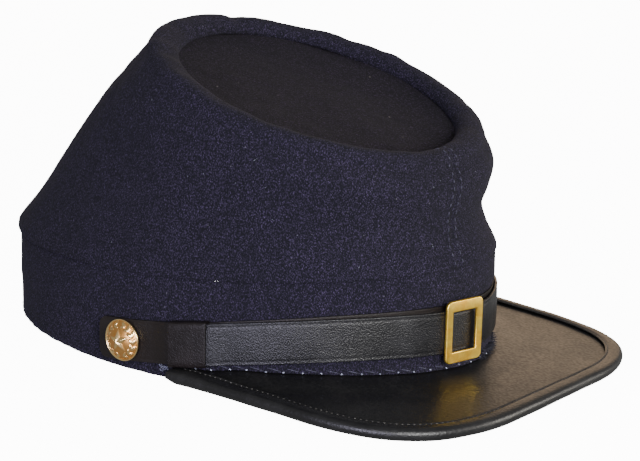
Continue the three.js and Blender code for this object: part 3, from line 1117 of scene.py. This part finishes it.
def keeper(name, side, replaced):
    """A leather loop round both strap layers, with rounded corners."""
    steps, rows = 96, 24

    def place(i, k):
        aside = keeper_width * (k / rows - 0.5)
        distance = side * keeper_place + aside
        turn = turn_at(distance)
        back = inner_back(distance) - clearance - keeper_wall
        front = outer_back(distance) + strap_wall + keeper_play + keeper_wall
        foot = strap_foot(turn) - keeper_play - keeper_wall
        head = strap_foot(turn) + strap_width + layer_step_at(distance) + keeper_play + keeper_wall
        deep, tall = (front - back) / 2, (head - foot) / 2
        a = -2 * math.pi * i / steps
        x, y = math.cos(a), math.sin(a)
        reach = min(deep / max(abs(x), 1e-9), tall / max(abs(y), 1e-9))
        out, up = x * reach, y * reach
        past_deep = abs(out) - deep + keeper_corner
        past_tall = abs(up) - tall + keeper_corner
        over = math.hypot(max(0, past_deep), max(0, past_tall))
        if over > keeper_corner:
            out = math.copysign(deep - keeper_corner + past_deep * keeper_corner / over, out)
            up = math.copysign(tall - keeper_corner + past_tall * keeper_corner / over, up)
        return on_band(turn, (front + back) / 2 + out, (head + foot) / 2 + up)

    bm = surface(steps, rows, place, size=(40, keeper_width), closed=True)
    uneven(bm, 0.12, grain=5, seed=7.7)
    shell(name, bm, keeper_wall, keeper_leather, replaced, rounding=0.25)


# Buckle


def buckle_place():
    seat = outer_back(buckle_aside) + strap_wall + clearance
    turned = Matrix.Rotation(buckle_tilt, 4, "Z") @ Matrix.Rotation(buckle_yaw, 4, "Y")
    return stand_on(buckle_aside, seat, -buckle_drop) @ turned


def slide_buckle():
    """A flat frame, raised from a grid of three by three faces whose middle one is its window."""
    bm = bmesh.new()
    bmesh.ops.create_grid(bm, x_segments=3, y_segments=3, size=1.5)
    window = (buckle_width / 2 - buckle_side_bar, buckle_height / 2 - buckle_end_bar)
    outside = (buckle_width / 2, buckle_height / 2)
    for vert in bm.verts:
        far = [abs(vert.co[axis]) > 1 for axis in (0, 1)]
        place = [math.copysign(outside[a] if far[a] else window[a], vert.co[a]) for a in (0, 1)]
        vert.co = Vector((*place, 0))
    middle = [face for face in bm.faces if face.calc_center_median().length < 0.1]
    bmesh.ops.delete(bm, geom=middle, context="FACES")
    raised = bmesh.ops.extrude_face_region(bm, geom=bm.faces[:])["geom"]
    top = [v for v in raised if isinstance(v, bmesh.types.BMVert)]
    bmesh.ops.translate(bm, vec=(0, 0, buckle_wall), verts=top)
    bmesh.ops.recalc_face_normals(bm, faces=bm.faces)
    corners = [
        edge for edge in bm.edges
        if all(abs(v.co.x) > window[0] + 0.1 and abs(v.co.y) > window[1] + 0.1 for v in edge.verts)
        and abs(edge.verts[0].co.z - edge.verts[1].co.z) > 0.1
    ]
    bmesh.ops.bevel(
        bm, geom=corners, offset=buckle_corner, affect="EDGES",
        segments=5, profile=0.5, material=-1,
    )
    bmesh.ops.transform(bm, matrix=buckle_place(), verts=bm.verts)
    made = piece("buckle_frame", bm, buckle_brass, ["buckle"])
    soften(made, 0.42, segments=4, angle=50)


def back_bar():
    """The bar between the strap layers, with a post at each end up to the buckle."""
    top = buckle_height / 2
    front = -2 * clearance - strap_wall
    bm = bmesh.new()
    bmesh.ops.create_cube(bm, size=1)
    reach = top - back_bar_inset
    bmesh.ops.scale(bm, vec=(back_bar_width, 2 * reach, back_bar_wall), verts=bm.verts)
    bmesh.ops.translate(bm, vec=(0, 0, front - back_bar_wall / 2), verts=bm.verts)
    strap_top = buckle_drop + strap_width / 2 + clearance
    strap_bottom = buckle_drop - strap_width / 2 - clearance
    frame_bottom = buckle_end_bar - top - post_in_frame
    for low, high in ((strap_top, reach), (-reach, min(strap_bottom, frame_bottom))):
        post = bmesh.ops.create_cube(bm, size=1)["verts"]
        bmesh.ops.scale(bm, vec=(back_bar_width, high - low, -front - post_gap), verts=post)
        bmesh.ops.translate(bm, vec=(0, (low + high) / 2, front / 2), verts=post)
    bmesh.ops.transform(bm, matrix=buckle_place(), verts=bm.verts)
    made = piece("buckle_back_bar", bm, buckle_brass)
    soften(made, 0.15, segments=2, angle=50)


# Buttons

button_seat = inner_back(button_from_front) + strap_wall + clearance
button_rim_wide = 0.6
dome_foot = 0.75
dome_rise = 2.6
wreath_radius = 6
wreath_leaves = 14
leaf_length = 1.3
leaf_width = 0.55
leaf_lean = math.radians(32)
leaf_height = 0.35
star_radius = 5
star_notch = 0.42
star_height = 1.1
leaf_pair_out = 0.45
leaf_vein_wide = 0.14
leaf_vein_depth = 0.35
wreath_foot_gap = 0.7
wreath_head_gap = 0.4
relief_from_rim = 0.1
relief_sink = 0.2

# The button's rolled edge, from its back to its dome: how far past the radius and how far up
button_edge_section = [
    (-0.5, 0), (-0.1, 0.12), (0, 0.4), (0, 0.75), (-0.1, 0.98), (-0.28, 1.02), (-0.45, 0.92),
]


def star_relief(radius, turn):
    """A faceted star with five points."""
    fifth = 2 * math.pi / 5
    aside = abs((turn - math.pi / 2 + fifth / 2) % fifth - fifth / 2)
    tip = Vector((1, 0))
    notch = Vector((math.cos(fifth / 2), math.sin(fifth / 2))) * star_notch
    along = notch - tip
    ray = Vector((math.cos(aside), math.sin(aside)))
    reach = (tip.x * along.y - tip.y * along.x) / (ray.x * along.y - ray.y * along.x)
    return star_height * max(0, 1 - radius / (star_radius * reach))


def wreath_relief(radius, turn):
    """Two rows of leaves that climb from the foot of the button to its head."""
    point = Vector((math.cos(turn), math.sin(turn))) * radius
    high = 0
    for side in (-1, 1):
        for n in range(wreath_leaves // 2):
            climb = (n + wreath_foot_gap) / (wreath_leaves / 2 + wreath_head_gap)
            at = -math.pi / 2 + side * math.pi * climb
            for lean, out in ((leaf_lean, leaf_pair_out), (-leaf_lean, -leaf_pair_out)):
                centre = Vector((math.cos(at), math.sin(at))) * (wreath_radius + out)
                along = at + side * (math.pi / 2 - lean)
                away = point - centre
                x = away.x * math.cos(along) + away.y * math.sin(along)
                y = -away.x * math.sin(along) + away.y * math.cos(along)
                far = (x / leaf_length) ** 2 + (y / leaf_width) ** 2
                if far < 1:
                    vein = leaf_vein_depth * bump(y / leaf_vein_wide)
                    high = max(high, leaf_height * math.sqrt(1 - far) * (1 - vein))
    return high


def button(name, side, replaced):
    radius = button_diameter / 2
    shank = shank_diameter / 2
    foot = -(button_seat + band_wall)
    field = radius - button_rim_wide
    rings, steps = 64, 180
    outline = [(0, foot), (shank - shank_chamfer, foot), (shank, foot + shank_chamfer)]
    outline += [(shank, shank_gap)]
    outline += [(radius + past, up) for past, up in button_edge_section]
    outline += [(field * s, dome_foot + dome_rise * (1 - s**2)) for s in spread(1, 0, rings)]
    bm = bmesh.new()
    verts = [bm.verts.new((r, 0, z)) for r, z in outline]
    edges = [bm.edges.new(pair) for pair in zip(verts, verts[1:])]
    bmesh.ops.spin(
        bm, geom=verts + edges, cent=(0, 0, 0), axis=(0, 0, 1), angle=2 * math.pi,
        steps=steps, use_merge=True,
    )
    bmesh.ops.remove_doubles(bm, verts=bm.verts, dist=1e-4)
    bmesh.ops.recalc_face_normals(bm, faces=bm.faces)
    # The relief layer is 1 on the raised parts, rim and back, and 0 in the flat field and hollows,
    # where the gilt brass paints shade.
    relief_shade_layer = bm.verts.layers.float.new("relief")
    for vert in bm.verts:
        far, turn = math.hypot(vert.co.x, vert.co.y), math.atan2(vert.co.y, vert.co.x)
        if vert.co.z < dome_foot + 0.02 or far > field - relief_from_rim:
            vert[relief_shade_layer] = 1
            continue
        high = max(star_relief(far, turn), wreath_relief(far, turn))
        vert[relief_shade_layer] = min(high / leaf_height, 1)
        vert.co.z += high - relief_sink
    seat = stand_on(side * button_from_front, button_seat, 0)
    bmesh.ops.transform(bm, matrix=seat, verts=bm.verts)
    piece(name, bm, button_brass, [replaced])


# Threads, fibres and lint


def bead(bm, place, along, outward, length, wide):
    """A small rounded thread end to end of a length, lying on a surface."""
    along = (along - outward * along.dot(outward)).normalized()
    across = outward.cross(along)
    shape = axes(along * length / 2, across * wide / 2, outward * wide / 2)
    matrix = Matrix.Translation(place) @ shape
    bmesh.ops.create_icosphere(bm, subdivisions=1, radius=1, matrix=matrix)


def on_cloth(tree, place, height):
    """The nearest place on a surface, lifted by a height, and the surface's normal there."""
    near, normal, _, _ = tree.find_nearest(place)
    return near + normal * height, normal


def seam_stitches(tree):
    """Two rows of stitches beside the crown's front seam."""
    bm = bmesh.new()
    steps = 160
    line = smooth_line(crown_run(seam_middle), steps)
    line = [smooth_line(crown_run(seam_turn_at(at.z)), steps)[n] for n, at in enumerate(line)]
    for side in (-1, 1):
        far = 0
        for before, after in zip(line, line[1:]):
            far += (after - before).length
            if far < seam_stitch_step or after.z > seam_stitch_top:
                continue
            far = 0
            aside = Vector((side * seam_stitch_aside, rng.uniform(-0.2, 0.2), 0))
            place, normal = on_cloth(tree, after + aside, -0.02)
            length = seam_stitch_length * rng.uniform(0.8, 1.1)
            bead(bm, place, after - before, normal, length, seam_stitch_wide)
    piece("crown_seam_stitches", bm, seam_thread)


def whip_stitches(tree):
    """Slanting threads that hold the band to the peak, each with a pale end."""
    threads, ends = bmesh.new(), bmesh.new()
    reach = math.floor(peak_end_turn * band_length / 2 / whip_step) - 2
    for n in range(-reach, reach + 1):
        turn = turn_at(whip_step * n + rng.uniform(-0.5, 0.5))
        low = band_foot(turn) + whip_above_edge + rng.uniform(-0.2, 0.3)
        end, normal = on_cloth(tree, on_band(turn, 0, low), 0.1)
        start, _ = on_cloth(tree, on_band(turn - whip_lean, 0, low + whip_rise), 0.1)
        along = end - start
        bead(threads, (start + end) / 2, along, normal, along.length, whip_thread_wide)
        bead(ends, end + normal * 0.1, along, normal, rng.uniform(0.8, 1.1), whip_end_wide)
    piece("whip_stitches", threads, seam_thread)
    piece("whip_stitch_ends", ends, pale_thread)


def binding_stitches(tree):
    """Fine stitches along the inner edge of the peak's binding."""
    bm = bmesh.new()
    edge = peak_edge(binding_stitch_steps)
    for n in range(2, binding_stitch_steps - 1):
        inset = inset_edge(edge, n, binding_width * binding_stitch_inset)
        place, normal = on_cloth(tree, peak_point(inset, binding_half), 0.02)
        along = edge[n + 1].to_3d() - edge[n - 1].to_3d()
        bead(bm, place, along, normal, binding_stitch_length, binding_stitch_wide)
    piece("binding_stitches", bm, dark_thread)


def any_way():
    return Vector((rng.uniform(-1, 1), rng.uniform(-1, 1), rng.uniform(-1, 1)))


def fibre(bm, root, way, length, wide):
    turn = way.to_track_quat("Z", "Y").to_matrix().to_4x4()
    matrix = Matrix.Translation(root + way * length / 2) @ turn
    bmesh.ops.create_cone(
        bm, segments=3, radius1=wide / 2, radius2=wide / 8, depth=length,
        cap_ends=True, matrix=matrix,
    )


def frayed_edge(tree):
    """Loose fibres along the band's cut lower edge, thickest beside the buckle."""
    bm = bmesh.new()
    for low, high, count, longest in frayed_places:
        for _ in range(count):
            turn = math.radians(rng.uniform(low, high))
            place = on_band(turn, 0, band_foot(turn) + rng.uniform(0, fray_tall))
            root, normal = on_cloth(tree, place, -0.2)
            aside, ahead = rng.uniform(-0.5, 0.5), rng.uniform(-0.5, 0.5)
            way = normal + Vector((aside, ahead, rng.uniform(-0.7, 0.25)))
            fibre(bm, root, way.normalized(), rng.uniform(0.3, 1) * longest, fibre_wide)
    piece("frayed_fibres", bm, fray_thread)


def lint(tree):
    """Short pale hairs and specks that lie on the wool."""
    bm = bmesh.new()
    for _ in range(lint_count):
        turn = rng.uniform(-math.pi, math.pi)
        near = on_rim(turn, lint_out, rng.uniform(-lint_below_rim, 0))
        place, normal = on_cloth(tree, near, 0.08)
        bead(bm, place, any_way(), normal, rng.uniform(0.3, 1.2), lint_wide)
    piece("lint", bm, pale_thread)


def end_tuft(tree):
    """Tangled thread ends beside the peak's end, on the wearer's right."""
    bm = bmesh.new()
    for _ in range(tuft_count):
        turn = -peak_end_turn - rng.uniform(0.045, 0.085)
        near = on_band(turn, 0, rng.uniform(0.2, tuft_tall))
        place, normal = on_cloth(tree, near, rng.uniform(0, 0.7))
        bead(bm, place, any_way(), normal, rng.uniform(1.0, 2.6), tuft_wide)
    piece("peak_end_thread", bm, tuft_thread)


rng = random.Random(11)
crown_tree = crown_side()
crown_top()
band_tree = band_cloth()
peak_plate()
binding_tree = peak_binding()
strap_layer(
    "chin_strap_inner", button_from_front + strap_end_beyond_button, inner_back,
    layer_step_at, True, inner_leather, "strap_inner",
)
strap_layer(
    "chin_strap_outer", keeper_place + keeper_width / 4, outer_back,
    lambda distance: 0, False, strap_leather, "strap_outer",
)
keeper("keeper_loop_right", -1, "keeper_right")
keeper("keeper_loop_left", 1, "keeper_left")
slide_buckle()
back_bar()
button("side_button_right", -1, "button_right")
button("side_button_left", 1, "button_left")
seam_stitches(crown_tree)
whip_stitches(band_tree)
binding_stitches(binding_tree)
frayed_edge(band_tree)
lint(crown_tree)
end_tuft(band_tree)


# Floor, light and camera


def studio_floor():
    bm = bmesh.new()
    bmesh.ops.create_grid(bm, x_segments=1, y_segments=1, size=3)
    paint, _, _ = shader(
        "pale floor",
        {
            "Base Color": (0.92, 0.92, 0.92, 1),
            "Roughness": 0.6,
            "Emission Color": (1, 1, 1, 1),
            "Emission Strength": 12.0,
        },
    )
    floor = meshed("studio_floor", bm, paint)
    floor.visible_diffuse = False
    floor.visible_glossy = False


def softbox(name, place, aim, size, power, color):
    lamp = bpy.data.lights.new(name, "AREA")
    lamp.shape = "RECTANGLE"
    lamp.size, lamp.size_y = size
    lamp.energy = power
    lamp.color = color
    made = placed(name, lamp)
    made.location = place
    made.rotation_euler = (Vector(aim) - Vector(place)).to_track_quat("-Z", "Y").to_euler()


def camera():
    back = Vector((
        -math.sin(camera_turn) * math.cos(camera_rise),
        -math.cos(camera_turn) * math.cos(camera_rise),
        math.sin(camera_rise),
    ))
    level = Vector((math.cos(camera_turn), -math.sin(camera_turn), 0))
    upright = back.cross(level)
    right = level * math.cos(camera_roll) + upright * math.sin(camera_roll)
    up = upright * math.cos(camera_roll) - level * math.sin(camera_roll)
    place = back * camera_distance + right * camera_aside + up * camera_up
    data = bpy.data.cameras.new("camera")
    data.sensor_width = sensor_width
    data.lens = camera_focus / picture_width * sensor_width
    data.clip_end = 20
    made = placed("camera", data)
    made.matrix_world = Matrix.Translation(to_row @ place) @ rest_turn @ axes(right, up, back)
    bpy.context.scene.camera = made


world = bpy.data.worlds.new("studio")
world.use_nodes = True
background = world.node_tree.nodes["Background"]
background.inputs["Color"].default_value = (1, 0.99, 0.97, 1)
background.inputs["Strength"].default_value = 0.34
bpy.context.scene.world = world

studio_floor()
softbox("key_softbox", (-0.66, -1.08, 0.42), (0, 0, 0.05), (0.6, 0.5), 25, (1, 0.99, 0.97))
softbox("side_softbox", (-1.25, -0.3, 0.14), (0, 0, 0.02), (0.5, 0.32), 14.5, (0.8, 0.77, 1))
softbox("front_softbox", (0.75, -1.0, 0.25), (0, 0, 0.03), (0.6, 0.4), 9.5, (1, 0.95, 0.86))
softbox("warm_wall", (0.95, 0.62, 0.35), (0, 0, 0.03), (1.1, 0.5), 2.7, (1, 0.67, 0.38))
camera()
